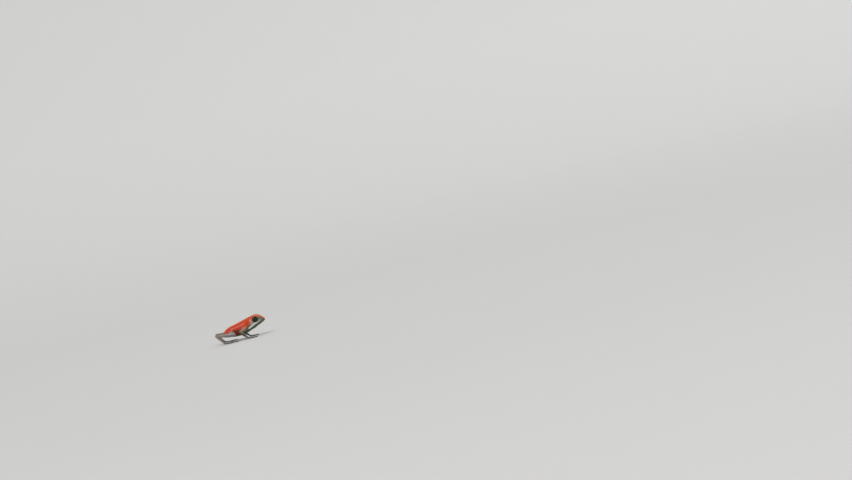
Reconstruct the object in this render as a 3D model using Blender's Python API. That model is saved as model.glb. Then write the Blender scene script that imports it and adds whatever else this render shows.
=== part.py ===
"""A strawberry poison dart frog, life size, sitting on a level floor with its chest raised.

The frog faces +X, its left side is towards +Y, and z = 0 is the floor. It is modelled with the vent
above x = 0, and an empty then centres it over the origin. Every size is a share of the length from
snout to vent: a number of units, each a millimetre on a frog of 21 mm.
"""

import math

import bmesh
import bpy
import numpy as np
from mathutils import Vector

MM = 0.001
SNOUT_VENT = 21.0 * MM
UNIT = SNOUT_VENT / 21.0
JOINT_GAP = 0.3 * MM
EYE_GAP = 0.1 * MM

# Rings of the body from vent to snout, in units: distance forward, top, underside, height of the
# widest line, half width, and the power of the section above and below that line (2 is an ellipse).
VENT = (0.10, 5.40, 4.65, 5.05, 0.40, 2.0, 2.0)
RUMP = (0.80, 6.10, 3.55, 4.85, 1.85, 2.1, 2.1)
HIPS = (2.40, 6.90, 2.70, 4.80, 2.70, 2.2, 2.2)
LOIN = (5.00, 7.70, 2.15, 4.80, 3.15, 2.2, 2.2)
BELLY = (8.00, 8.48, 2.10, 5.00, 3.65, 2.2, 2.2)
CHEST = (10.60, 9.15, 2.45, 5.30, 3.75, 2.2, 2.2)
SHOULDERS = (12.20, 9.55, 2.95, 5.30, 3.50, 2.2, 2.2)
NAPE = (13.40, 9.85, 3.45, 5.35, 3.32, 2.2, 2.2)
JAW = (14.80, 10.10, 4.00, 5.65, 3.45, 2.4, 2.1)
EYES = (16.40, 10.45, 4.65, 6.00, 3.25, 2.7, 2.1)
CANTHUS = (18.00, 10.15, 5.25, 6.35, 2.66, 2.6, 2.1)
NOSTRILS = (19.40, 9.15, 5.85, 6.70, 2.12, 2.5, 2.0)
SNOUT = (20.30, 8.35, 6.35, 6.95, 1.62, 2.4, 2.0)
LIP = (20.80, 7.80, 6.75, 7.10, 0.98, 2.2, 2.0)
TRUNK_RINGS = (VENT, RUMP, HIPS, LOIN, BELLY, CHEST, SHOULDERS, NAPE, JAW)
HEAD_RINGS = (SHOULDERS, NAPE, JAW, EYES, CANTHUS, NOSTRILS, SNOUT, LIP)
VENT_POLE = 0.0
LIP_POLE = 21.0
BODY_SIDES = 28
RINGS_BETWEEN = 3

EYE_RADIUS = 1.62
EYE_CENTRE = Vector((15.95, 2.10, 8.15))
EYE_SEGMENTS = 24
EYE_RINGS = 14
EYE_FORWARD = math.radians(14)
EYE_UP = math.radians(10)
LID_HALF_SIZE = (1.98, 2.18, 1.30)
LID_OPENING_LONG = 1.48
LID_OPENING_HIGH = 1.34
LID_OPENING_DROP = 0.16

MOUTH_WIDTH = 0.16
MOUTH_DEPTH = 0.32
MOUTH_CORNER = 13.95
NOSTRIL = Vector((19.85, 1.44, 8.05))
NOSTRIL_RADIUS = 0.17
EAR = Vector((14.10, 3.24, 6.75))
EAR_RADIUS = 0.52
EAR_RING = 0.09

# Joints of the right limbs in units, with y counted away from the middle of the body, and how far
# each joint of the left limbs stands from its mirror image.
ARM = {"shoulder": (12.1, 2.3, 4.8), "elbow": (7.7, 5.3, 4.15), "wrist": (10.9, 5.9, 0.72)}
LEG = {
    "hip": (1.9, 1.3, 4.7),
    "knee": (4.8, 7.1, 3.7),
    "heel": (-4.0, 4.6, 4.75),
    "instep": (-0.7, 5.4, 0.72),
}
LEFT_MOVES = {
    "shoulder": (0.0, 0.0, 0.0),
    "elbow": (0.5, -0.1, 0.1),
    "wrist": (1.1, -0.3, 0.0),
    "hip": (0.0, 0.0, 0.0),
    "knee": (0.35, 0.1, 0.1),
    "heel": (0.3, 0.3, 0.1),
    "instep": (0.2, 0.4, 0.0),
}

# Radius of each limb piece in units, as pairs of share of its length and radius.
UPPER_ARM = ((0.0, 0.95), (0.35, 0.92), (0.7, 0.76), (1.0, 0.66))
FOREARM = ((0.0, 0.66), (0.3, 0.77), (0.7, 0.57), (1.0, 0.43))
THIGH = ((0.0, 1.35), (0.35, 1.38), (0.7, 1.10), (1.0, 0.82))
SHANK = ((0.0, 0.82), (0.3, 0.98), (0.65, 0.76), (1.0, 0.54))
TARSUS = ((0.0, 0.50), (0.25, 0.52), (0.7, 0.46), (1.0, 0.44))
LIMB_SIDES = 14
LIMB_RINGS = 7
CAP_RINGS = 3

# Digits from the innermost out: turn from the hand's own heading in degrees, length and disc width.
FINGERS = ((-40, 2.1, 0.66), (-13, 2.5, 0.74), (14, 3.6, 1.06), (46, 2.7, 0.96))
TOES = ((-40, 1.9, 0.54), (-20, 2.8, 0.60), (-3, 4.1, 0.74), (13, 5.5, 0.82), (38, 3.3, 0.68))
HAND_HEADING = {"right": -6, "left": 4}
FOOT_HEADING = {"right": 8, "left": 12}
PALM_LENGTH = 1.5
PALM_HALF_WIDTH = 0.72
SOLE_LENGTH = 2.3
SOLE_HALF_WIDTH = 0.66
PAD_HEIGHT = 0.62
# Along a digit: share of its length, height of its middle, half width and half height. The half
# width of the last three is a share of the disc's half width.
DIGIT_SHAFT = ((0.0, 0.30, 0.30, 0.30), (0.3, 0.29, 0.26, 0.26), (0.62, 0.25, 0.25, 0.25))
DIGIT_DISC = ((0.80, 0.20, 0.62, 0.23), (0.90, 0.17, 1.0, 0.22), (0.97, 0.16, 0.86, 0.19))
DIGIT_SIDES = 10

SKIN_RED = (0.66, 0.045, 0.012)
HEAD_ORANGE = (0.70, 0.085, 0.015)
LIMB_GREY = (0.26, 0.25, 0.29)
ARM_GREY = (0.27, 0.29, 0.27)
EYE_BLACK = (0.006, 0.008, 0.010)
SKIN_ROUGHNESS = 0.34
EYE_ROUGHNESS = 0.06
SMOOTH_ANGLE = math.radians(50)


def clear_scene():
    """Removes the objects that the file opened with."""
    for obj in list(bpy.data.objects):
        bpy.data.objects.remove(obj)


def smooth_rows(rows, between):
    """Rows of numbers with more rows between them, along Catmull-Rom curves through the given ones."""
    table = np.array(rows, float)
    before = np.vstack([2 * table[0] - table[1], table, 2 * table[-1] - table[-2]])
    found = []
    for i in range(len(table) - 1):
        a, b, c, d = before[i : i + 4]
        for t in np.arange(between) / between:
            found.append(
                0.5 * (2 * b + (c - a) * t + (2 * a - 5 * b + 4 * c - d) * t**2)
                + 0.5 * (3 * b - a - 3 * c + d) * t**3
            )
    found.append(table[-1])
    return np.array(found)


def lofted(name, rings, first_pole=None, last_pole=None):
    """A closed mesh object over rings of points, each end a point, or a flat face where there is none."""
    shape = bmesh.new()
    loops = [[shape.verts.new(point) for point in ring] for ring in rings]
    for near, far in zip(loops, loops[1:]):
        for i in range(len(near)):
            j = (i + 1) % len(near)
            shape.faces.new((near[i], near[j], far[j], far[i]))
    for loop, pole in ((loops[0], first_pole), (loops[-1], last_pole)):
        if pole is None:
            shape.faces.new(loop)
            continue
        tip = shape.verts.new(pole)
        for i in range(len(loop)):
            shape.faces.new((loop[i], loop[(i + 1) % len(loop)], tip))
    bmesh.ops.recalc_face_normals(shape, faces=shape.faces)
    mesh = bpy.data.meshes.new(name)
    shape.to_mesh(mesh)
    shape.free()
    obj = bpy.data.objects.new(name, mesh)
    bpy.context.scene.collection.objects.link(obj)
    return obj


def evaluated(obj):
    """Turns an object's modifiers into its mesh."""
    graph = bpy.context.evaluated_depsgraph_get()
    made = bpy.data.meshes.new_from_object(obj.evaluated_get(graph))
    obj.modifiers.clear()
    obj.data = made


def keep_largest_surface(obj):
    """Removes every closed surface of a mesh but the one with the most room inside."""
    shape = bmesh.new()
    shape.from_mesh(obj.data)
    left = set(shape.verts)
    islands = []
    while left:
        island, reached = set(), [left.pop()]
        while reached:
            vert = reached.pop()
            island.add(vert)
            for edge in vert.link_edges:
                other = edge.other_vert(vert)
                if other in left:
                    left.remove(other)
                    reached.append(other)
        islands.append(island)

    def room(island):
        corners = np.array([vert.co for vert in island])
        return np.prod(np.ptp(corners, axis=0))

    islands.sort(key=room)
    scraps = [vert for island in islands[:-1] for vert in island]
    bmesh.ops.delete(shape, geom=scraps, context="VERTS")
    shape.to_mesh(obj.data)
    shape.free()


def joined(obj, pieces):
    """Fuses closed pieces into an object by one Boolean union."""
    group = bpy.data.collections.new(obj.name + "_pieces")
    for piece in pieces:
        group.objects.link(piece)
    union = obj.modifiers.new("union", "BOOLEAN")
    union.operation = "UNION"
    union.operand_type = "COLLECTION"
    union.collection = group
    union.solver = "EXACT"
    evaluated(obj)
    for piece in pieces:
        bpy.data.objects.remove(piece)
    bpy.data.collections.remove(group)


def cut(obj, *cutters, solver="EXACT"):
    """Cuts each cutter out of an object and removes the cutter."""
    for cutter in cutters:
        difference = obj.modifiers.new("cut", "BOOLEAN")
        difference.operation = "DIFFERENCE"
        difference.object = cutter
        difference.solver = solver
        evaluated(obj)
        bpy.data.objects.remove(cutter)
    keep_largest_surface(obj)


def cut_level(obj):
    """Cuts away what is under the floor and closes the flats that this leaves."""
    shape = bmesh.new()
    shape.from_mesh(obj.data)
    everything = shape.verts[:] + shape.edges[:] + shape.faces[:]
    halves = bmesh.ops.bisect_plane(
        shape, geom=everything, plane_co=(0, 0, 0), plane_no=(0, 0, -1), clear_outer=True
    )
    rim = [item for item in halves["geom_cut"] if isinstance(item, bmesh.types.BMEdge)]
    bmesh.ops.triangle_fill(shape, edges=rim, use_beauty=True)
    bmesh.ops.recalc_face_normals(shape, faces=shape.faces)
    shape.to_mesh(obj.data)
    shape.free()
    keep_largest_surface(obj)


def superellipse(angle, power):
    """The two coordinates of a rounded square of half width 1, which is a circle at power 2."""
    c, s = math.cos(angle), math.sin(angle)
    return (
        math.copysign(abs(c) ** (2 / power), c),
        math.copysign(abs(s) ** (2 / power), s),
    )


def body_ring(row, swell=0.0):
    """One upright ring of the body, from a row of its table in units. swell makes it larger."""
    x, top, under, widest, half, power_up, power_down = row
    ring = []
    for i in range(BODY_SIDES):
        angle = 2 * math.pi * i / BODY_SIDES
        upper = math.sin(angle) > 0
        across, upward = superellipse(angle, power_up if upper else power_down)
        reach = (top - widest if upper else widest - under) + swell
        ring.append(Vector((x, across * (half + swell), widest + upward * reach)) * UNIT)
    return ring


def body_row(rows, x):
    """The body's table read at a distance forward."""
    return np.array([np.interp(x, rows[:, 0], rows[:, i]) for i in range(rows.shape[1])])


def cleared(size=JOINT_GAP):
    """A gap in units."""
    return size / UNIT


def trunk_object(name, swell=0.0):
    """The trunk, round at the vent and cut upright at the nape."""
    rows = smooth_rows(TRUNK_RINGS, RINGS_BETWEEN)
    nape = NAPE[0] - cleared() / 2
    if swell:
        nape += 2 * swell
    rows = np.vstack([rows[rows[:, 0] < nape - 0.1], body_row(rows, nape)])
    rings = [body_ring(row, swell) for row in rows]
    pole = Vector((VENT_POLE - swell, 0, VENT[3])) * UNIT
    return lofted(name, rings, first_pole=pole)


def head_object(name, swell=0.0):
    """The head without its lids and openings, from the nape to the lip. A negative swell shrinks it."""
    rows = smooth_rows(HEAD_RINGS, RINGS_BETWEEN)
    nape = NAPE[0] + cleared() / 2
    rows = np.vstack([body_row(rows, nape), rows[rows[:, 0] > nape + 0.1]])
    if swell < 0:
        rows = rows[rows[:, 4] > 1.2 - swell]
        rows[0, 0] -= 1
    rings = [body_ring(row, swell) for row in rows]
    tip = rows[-1, 0] + 0.1 if swell < 0 else LIP_POLE
    pole = Vector((tip, 0, rows[-1, 3])) * UNIT
    return lofted(name, rings, last_pole=pole)


def ball(name, centre, half_sizes, segments, rings, direction=Vector((0, 0, 1))):
    """An ellipsoid in units. Its half sizes are lengthwise, upwards and along its poles' direction."""
    shape = bmesh.new()
    bmesh.ops.create_uvsphere(shape, u_segments=segments, v_segments=rings, radius=UNIT)
    bmesh.ops.scale(shape, vec=half_sizes, verts=shape.verts)
    turn = direction.to_track_quat("Z", "Y").to_matrix()
    bmesh.ops.rotate(shape, cent=(0, 0, 0), matrix=turn, verts=shape.verts)
    bmesh.ops.translate(shape, vec=centre * UNIT, verts=shape.verts)
    mesh = bpy.data.meshes.new(name)
    shape.to_mesh(mesh)
    shape.free()
    obj = bpy.data.objects.new(name, mesh)
    bpy.context.scene.collection.objects.link(obj)
    return obj


def pin(name, start, direction, radii, length, sides=20, upright=Vector((0, 0, 1))):
    """A straight rod of oval section, in units, from a start along a direction."""
    along = direction.normalized()
    side = upright.cross(along).normalized()
    up = along.cross(side)
    rings = []
    for distance in (0.0, length):
        middle = start + along * distance
        ring = []
        for i in range(sides):
            angle = 2 * math.pi * i / sides
            offset = side * radii[0] * math.cos(angle) + up * radii[1] * math.sin(angle)
            ring.append((middle + offset) * UNIT)
        rings.append(ring)
    return lofted(name, rings)


def mirrored(point, sign):
    """A point or direction of the left side (sign 1) or of the right side (sign -1)."""
    return Vector((point[0], point[1] * sign, point[2]))


def eye_direction(sign):
    """Where an eye looks: out to its side, a little forward and up."""
    return mirrored(
        (
            math.sin(EYE_FORWARD) * math.cos(EYE_UP),
            math.cos(EYE_FORWARD) * math.cos(EYE_UP),
            math.sin(EYE_UP),
        ),
        sign,
    )


def mouth_cutter():
    """A thin sheet along the widest line of the head, hollow where the head is deeper than the mouth."""
    rows = smooth_rows(HEAD_RINGS, RINGS_BETWEEN)
    rows = np.vstack([body_row(rows, MOUTH_CORNER), rows[rows[:, 0] > MOUTH_CORNER + 0.1]])
    beyond = rows[-1].copy()
    beyond[0] += 1.0
    beyond[3] += 0.1
    rows = np.vstack([rows, beyond])
    reach, half = 5.0, MOUTH_WIDTH / 2
    corners = ((-reach, -half), (reach, -half), (reach, half), (-reach, half))
    rings = [
        [Vector((row[0], across, row[3] + upward)) * UNIT for across, upward in corners]
        for row in rows
    ]
    sheet = lofted("mouth_sheet", rings)
    cut(sheet, head_object("mouth_core", -MOUTH_DEPTH))
    return sheet


def ear_ring(sign):
    """A ring that presses the rim of the eardrum into the skin."""
    centre = mirrored(EAR, sign)
    out = mirrored((-0.12, 1.0, 0.30), sign).normalized()
    side = Vector((0, 0, 1)).cross(out).normalized()
    up = out.cross(side)
    rings = []
    turns, sides = 20, 8
    for i in range(turns + 1):
        turn = 2 * math.pi * i / turns
        spoke = side * math.cos(turn) + up * math.sin(turn)
        ring = []
        for k in range(sides):
            angle = 2 * math.pi * k / sides
            offset = spoke * math.cos(angle) * EAR_RING + out * math.sin(angle) * EAR_RING * 1.6
            ring.append((centre + spoke * EAR_RADIUS + offset) * UNIT)
        rings.append(ring)
    ring_object = lofted("ear_ring", rings)
    shape = bmesh.new()
    shape.from_mesh(ring_object.data)
    ends = [face for face in shape.faces if len(face.verts) == sides]
    bmesh.ops.delete(shape, geom=ends, context="FACES_ONLY")
    bmesh.ops.remove_doubles(shape, verts=shape.verts, dist=1e-7)
    bmesh.ops.recalc_face_normals(shape, faces=shape.faces)
    shape.to_mesh(ring_object.data)
    shape.free()
    return ring_object


def make_head():
    """The head with its lids, eye sockets, mouth, nostrils and eardrums."""
    head = head_object("head")
    lids, sockets, openings, pits, ears = [], [], [], [], []
    socket_radius = EYE_RADIUS + cleared(EYE_GAP)
    for sign in (-1, 1):
        centre, out = mirrored(EYE_CENTRE, sign), eye_direction(sign)
        lids.append(ball("lid", centre, LID_HALF_SIZE, EYE_SEGMENTS, EYE_RINGS, out))
        sockets.append(ball("socket", centre, 3 * (socket_radius,), EYE_SEGMENTS, EYE_RINGS, out))
        start = centre - Vector((0, 0, LID_OPENING_DROP))
        openings.append(pin("opening", start, out, (LID_OPENING_LONG, LID_OPENING_HIGH), 4, 24))
        hole = mirrored(NOSTRIL, sign)
        pits.append(ball("pit", hole, 3 * (NOSTRIL_RADIUS,), 8, 6))
        ears.append(ear_ring(sign))
    joined(head, lids)
    cut(head, mouth_cutter(), *sockets, *openings, *pits, *ears, solver="MANIFOLD")
    return head


def make_eye(side, sign):
    """An eyeball, its pole towards what it looks at."""
    centre, out = mirrored(EYE_CENTRE, sign), eye_direction(sign)
    return ball("eye_" + side, centre, 3 * (EYE_RADIUS,), EYE_SEGMENTS, EYE_RINGS, out)


def limb(name, start, end, profile, swell=0.0):
    """A limb piece in units, round at both ends, its radius read along it from pairs in a profile."""
    along = (end - start).normalized()
    side = along.cross(Vector((0, 0, 1))).normalized()
    up = side.cross(along)
    length = (end - start).length
    shares, radii = zip(*smooth_rows(profile, 3))
    first, last = radii[0] + swell, radii[-1] + swell
    stations = []
    for i in range(CAP_RINGS):
        angle = math.pi / 2 * (i + 0.35) / CAP_RINGS
        stations.append((-first * math.cos(angle), first * math.sin(angle)))
    for share in np.linspace(0, 1, LIMB_RINGS):
        stations.append((share * length, float(np.interp(share, shares, radii)) + swell))
    for i in reversed(range(CAP_RINGS)):
        angle = math.pi / 2 * (i + 0.35) / CAP_RINGS
        stations.append((length + last * math.cos(angle), last * math.sin(angle)))
    rings = []
    for distance, radius in stations:
        middle = start + along * distance
        ring = []
        for i in range(LIMB_SIDES):
            angle = 2 * math.pi * i / LIMB_SIDES
            offset = side * math.cos(angle) * radius + up * math.sin(angle) * radius
            ring.append((middle + offset) * UNIT)
        rings.append(ring)
    first_pole = (start - along * first) * UNIT
    last_pole = (end + along * last) * UNIT
    return lofted(name, rings, first_pole, last_pole)


def flat_tube(name, start, heading, length, stations, sign, sides=DIGIT_SIDES):
    """A low tube that runs level over the floor. A station is distance, height, half width and half height."""
    turn = math.radians(heading)
    along = mirrored((math.cos(turn), math.sin(turn), 0), sign)
    side = mirrored((-math.sin(turn), math.cos(turn), 0), sign)
    rings = []
    for share, height, half_width, half_height in stations:
        middle = start + along * share * length
        middle.z = height
        ring = []
        for i in range(sides):
            angle = 2 * math.pi * i / sides
            offset = side * math.cos(angle) * half_width
            offset += Vector((0, 0, math.sin(angle) * half_height))
            ring.append((middle + offset) * UNIT)
        rings.append(ring)
    tip = start + along * length
    tip.z = stations[-1][1]
    root = start - along * stations[0][2] * 0.6
    root.z = stations[0][1]
    return lofted(name, rings, root * UNIT, tip * UNIT)


def digit(root, heading, length, disc, sign):
    """A finger or toe, slim along its shaft and widened into a disc at its tip."""
    wide = [(share, height, w * disc / 2, h) for share, height, w, h in DIGIT_DISC]
    rows = smooth_rows(list(DIGIT_SHAFT) + wide, 2)
    return flat_tube("digit", root, heading, length, rows, sign)


def paw(name, joint, heading, pad_length, pad_half_width, digits, sign):
    """A hand or foot in units: a pad from the limb's end joint, with its digits fanned from the front."""
    turn = math.radians(heading)
    along = mirrored((math.cos(turn), math.sin(turn), 0), sign)
    pad_rows = (
        (0.0, joint.z, 0.44, 0.44),
        (0.35, PAD_HEIGHT * 0.72, pad_half_width * 0.8, PAD_HEIGHT * 0.68),
        (0.75, PAD_HEIGHT * 0.52, pad_half_width, PAD_HEIGHT * 0.56),
        (0.97, PAD_HEIGHT * 0.46, pad_half_width * 0.7, PAD_HEIGHT * 0.42),
    )
    pad = flat_tube(name, joint, heading, pad_length, smooth_rows(pad_rows, 2), sign, 12)
    middle = (len(digits) - 1) / 2
    pieces = []
    for order, (turn_out, length, disc) in enumerate(digits):
        across = (order - middle) / middle * pad_half_width * 0.55
        back = 0.22 * abs(order - middle)
        side = mirrored((-math.sin(turn), math.cos(turn), 0), sign)
        root = joint + along * (pad_length * 0.80 - back) + side * across
        pieces.append(digit(root, heading + turn_out, length, disc, sign))
    joined(pad, pieces)
    return pad


def make_limbs(side, sign, trunk_cutter):
    """The arm and the leg of one side, each piece cut clear of the one that it grows from."""
    joints = {}
    for name, place in {**ARM, **LEG}.items():
        move = LEFT_MOVES[name] if side == "left" else (0, 0, 0)
        joints[name] = mirrored([a + b for a, b in zip(place, move)], sign)
    gap = cleared()
    made = {}

    def piece(name, start, end, profile, cutter):
        made[name] = limb(f"{name}_{side}", joints[start], joints[end], profile)
        cut(made[name], cutter)
        return limb("cutter", joints[start], joints[end], profile, gap)

    arm_cutter = piece("upper_arm", "shoulder", "elbow", UPPER_ARM, trunk_cutter())
    forearm_cutter = piece("forearm", "elbow", "wrist", FOREARM, arm_cutter)
    thigh_cutter = piece("thigh", "hip", "knee", THIGH, trunk_cutter())
    shank_cutter = piece("shank", "knee", "heel", SHANK, thigh_cutter)
    tarsus_cutter = piece("tarsus", "heel", "instep", TARSUS, shank_cutter)
    hand = paw(
        f"hand_{side}",
        joints["wrist"],
        HAND_HEADING[side],
        PALM_LENGTH,
        PALM_HALF_WIDTH,
        FINGERS,
        sign,
    )
    cut(hand, forearm_cutter)
    foot = paw(
        f"foot_{side}",
        joints["instep"],
        FOOT_HEADING[side],
        SOLE_LENGTH,
        SOLE_HALF_WIDTH,
        TOES,
        sign,
    )
    cut(foot, tarsus_cutter)
    made["hand"], made["foot"] = hand, foot
    for name in ("hand", "foot", "forearm", "tarsus"):
        cut_level(made[name])
    origins = {
        "upper_arm": "shoulder",
        "forearm": "elbow",
        "hand": "wrist",
        "thigh": "hip",
        "shank": "knee",
        "tarsus": "heel",
        "foot": "instep",
    }
    for name, joint in origins.items():
        set_origin(made[name], joints[joint])
    return made


def set_origin(obj, point):
    """Gives an object its place at a point in units, its mesh left where it was."""
    place = point * UNIT
    for vert in obj.data.vertices:
        vert.co -= place
    obj.location = place


def finish(name, colour, roughness, objects):
    """One material for some pieces, and smooth shading between their flats."""
    material = bpy.data.materials.new(name)
    material.use_nodes = True
    shader = material.node_tree.nodes["Principled BSDF"]
    shader.inputs["Base Color"].default_value = (*colour, 1)
    shader.inputs["Roughness"].default_value = roughness
    shader.inputs["Metallic"].default_value = 0.0
    for obj in objects:
        obj.data.materials.clear()
        obj.data.materials.append(material)
        obj.data.shade_smooth()
        obj.data.set_sharp_from_angle(angle=SMOOTH_ANGLE)


def centre_on_floor(objects):
    """Hangs every piece from one empty, which brings the middle of their box over the origin."""
    corners = np.array(
        [obj.matrix_world @ vert.co for obj in objects for vert in obj.data.vertices]
    )
    middle = (corners.min(axis=0) + corners.max(axis=0)) / 2
    frog = bpy.data.objects.new("frog", None)
    bpy.context.scene.collection.objects.link(frog)
    for obj in objects:
        obj.parent = frog
    frog.location = (-middle[0], -middle[1], 0)


def main():
    clear_scene()
    trunk = trunk_object("trunk")
    head = make_head()
    set_origin(trunk, Vector((0, 0, VENT[3])))
    set_origin(head, Vector((NAPE[0], 0, NAPE[3])))

    def trunk_cutter():
        return trunk_object("cutter", cleared())

    limbs, eyes = [], []
    for side, sign in (("right", -1), ("left", 1)):
        eye = make_eye(side, sign)
        set_origin(eye, mirrored(EYE_CENTRE, sign))
        eyes.append(eye)
        limbs.append(make_limbs(side, sign, trunk_cutter))
    arms = [made[name] for made in limbs for name in ("upper_arm", "forearm", "hand")]
    legs = [made[name] for made in limbs for name in ("thigh", "shank", "tarsus", "foot")]
    finish("red_skin", SKIN_RED, SKIN_ROUGHNESS, [trunk])
    finish("orange_skin", HEAD_ORANGE, SKIN_ROUGHNESS, [head])
    finish("grey_green_skin", ARM_GREY, SKIN_ROUGHNESS, arms)
    finish("grey_skin", LIMB_GREY, SKIN_ROUGHNESS, legs)
    finish("eye", EYE_BLACK, EYE_ROUGHNESS, eyes)
    bpy.context.view_layer.update()
    centre_on_floor([trunk, head, *eyes, *arms, *legs])


main()
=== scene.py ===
import math

import bmesh
import bpy
import numpy as np
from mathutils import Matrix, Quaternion, Vector


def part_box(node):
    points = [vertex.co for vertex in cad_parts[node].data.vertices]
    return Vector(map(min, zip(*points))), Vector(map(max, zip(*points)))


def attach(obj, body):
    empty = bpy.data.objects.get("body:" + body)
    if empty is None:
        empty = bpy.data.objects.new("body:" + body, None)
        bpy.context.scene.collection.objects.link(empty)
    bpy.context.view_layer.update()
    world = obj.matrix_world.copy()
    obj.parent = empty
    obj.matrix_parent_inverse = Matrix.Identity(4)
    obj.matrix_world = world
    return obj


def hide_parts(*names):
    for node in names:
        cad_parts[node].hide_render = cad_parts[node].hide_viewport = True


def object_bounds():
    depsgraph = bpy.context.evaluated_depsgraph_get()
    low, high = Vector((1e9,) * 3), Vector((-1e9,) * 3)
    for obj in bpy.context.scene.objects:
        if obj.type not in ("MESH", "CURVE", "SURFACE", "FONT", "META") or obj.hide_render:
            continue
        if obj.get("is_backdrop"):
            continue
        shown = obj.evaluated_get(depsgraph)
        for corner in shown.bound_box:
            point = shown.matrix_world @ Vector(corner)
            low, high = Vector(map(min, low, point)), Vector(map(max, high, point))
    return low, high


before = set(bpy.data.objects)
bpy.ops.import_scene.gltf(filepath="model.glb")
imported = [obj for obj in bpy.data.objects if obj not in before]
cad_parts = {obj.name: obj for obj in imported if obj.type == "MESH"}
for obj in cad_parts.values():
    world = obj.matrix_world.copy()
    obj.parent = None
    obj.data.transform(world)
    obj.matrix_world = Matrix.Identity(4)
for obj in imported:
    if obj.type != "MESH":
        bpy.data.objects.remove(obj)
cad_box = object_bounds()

# The body, from vent to lip: one smooth sack of skin over the trunk, shoulders, jaws and skull, with
# the chest held up off the floor. Sizes are in millimetres on a frog of 21 mm from snout to vent.
# They count from the vent, x forward, y to the frog's left and z up from the floor.

MM = 0.001
EYE_CENTRE = np.array((15.95, 2.10, 8.15))
low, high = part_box("eye_left")
FROG_PLACE = np.array((low + high) / 2) / MM - EYE_CENTRE

# Each row: distance forward, top, underside, height of the widest line, half width, and the power of
# the section above and below that line, where 2 is an ellipse and more is squarer.
BODY_ROWS = (
    (0.10, 5.40, 4.65, 5.05, 0.40, 2.0, 2.0),
    (0.80, 6.10, 3.55, 4.85, 1.85, 2.1, 2.1),
    (2.40, 6.90, 2.70, 4.80, 2.70, 2.2, 2.2),
    (5.00, 7.70, 2.15, 4.80, 3.15, 2.2, 2.2),
    (8.00, 8.48, 2.10, 5.00, 3.65, 2.2, 2.2),
    (10.60, 9.15, 2.45, 5.30, 3.75, 2.2, 2.2),
    (12.20, 9.55, 2.95, 5.30, 3.50, 2.2, 2.2),
    (13.40, 9.85, 3.45, 5.35, 3.32, 2.2, 2.2),
    (14.80, 10.10, 4.00, 5.65, 3.45, 2.4, 2.1),
    (16.40, 10.45, 4.65, 6.00, 3.25, 2.7, 2.1),
    (18.00, 10.15, 5.25, 6.35, 2.66, 2.6, 2.1),
    (19.40, 9.15, 5.85, 6.70, 2.12, 2.5, 2.0),
    (20.30, 8.35, 6.35, 6.95, 1.62, 2.4, 2.0),
    (20.80, 7.80, 6.75, 7.10, 0.98, 2.2, 2.0),
    (20.96, 7.50, 6.92, 7.13, 0.52, 2.0, 2.0),
)
BODY_RINGS = 240
BODY_SIDES = 160
BODY_ENDS = ((0.0, 0.0, 5.05), (21.0, 0.0, 7.15))
# The shoulder blade and the haunch of each side: their middle, size and rise.
SHOULDER_BLADE = ((11.6, 2.1, 8.9), 1.3, 0.16)
HAUNCH = ((3.4, 1.25, 7.1), 1.5, 0.14)


def along(rows, share):
    """Rows read along the Catmull-Rom curve through them. Share 0 is the first row and 1 the last."""
    table = np.array(rows, float)
    ends = np.vstack([2 * table[0] - table[1], table, 2 * table[-1] - table[-2]])
    place = np.clip(share, 0, 1) * (len(table) - 1)
    i = np.minimum(place.astype(int), len(table) - 2)
    t = (place - i)[..., None]
    a, b, c, d = ends[i], ends[i + 1], ends[i + 2], ends[i + 3]
    return b + 0.5 * t * (c - a + t * (2 * a - 5 * b + 4 * c - d + t * (3 * b - a - 3 * c + d)))


def shell(rings, first, last):
    """Points and faces of a closed surface: a grid of rings, with a point to close each end."""
    count, sides = rings.shape[:2]
    here = np.arange(count * sides).reshape(count, sides)
    beside = np.roll(here, -1, axis=1)
    walls = np.stack([here[:-1], beside[:-1], beside[1:], here[1:]], -1).reshape(-1, 4)
    tips = np.full((2, sides), count * sides) + [[0], [1]]
    near = np.stack([beside[0], here[0], tips[0]], -1)
    far = np.stack([here[-1], beside[-1], tips[1]], -1)
    points = np.vstack([rings.reshape(-1, 3), first, last])
    return points, walls.tolist() + near.tolist() + far.tolist()


def folded(points):
    """Points with the right side turned over onto the left."""
    return np.abs(points * (0, 1, 0)) + points * (1, 0, 1)


def bump(points, centre, size):
    """1 at a centre, falling off as the bell curve exp(-(distance / size) squared)."""
    return np.exp(-(((points - np.array(centre)) ** 2).sum(-1)) / size**2)


def body():
    """Half widths and heights read along the rows, on the angle round each upright section.

    Across = half width * |cos| ** (2 / power), up = height * |sin| ** (2 / power), each with its sign.
    """
    row = along(BODY_ROWS, np.linspace(0, 1, BODY_RINGS))[:, None, :]
    x, top, under, widest, half, above, below = np.moveaxis(row, -1, 0)
    angle = np.linspace(0, 2 * math.pi, BODY_SIDES, endpoint=False)[None, :]
    c, s = np.cos(angle), np.sin(angle)
    power = np.where(s > 0, above, below)
    height = np.where(s > 0, top - widest, widest - under)
    across = half * np.sign(c) * np.abs(c) ** (2 / power)
    up = widest + height * np.sign(s) * np.abs(s) ** (2 / power)
    rings = np.stack([x + 0 * across, across, up], -1)
    one_side = folded(rings)
    rings[..., 2] += sum(
        rise * bump(one_side, centre, size) for centre, size, rise in (SHOULDER_BLADE, HAUNCH)
    )
    return shell(rings, *BODY_ENDS)


# The limbs: an upper arm and forearm, and a thigh, shank and tarsus on each side, each a tapered
# muscle between two joints. The knees stand out to the sides and the heels behind the vent. The left
# hand and foot are set a little further forward than the right ones.

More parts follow.
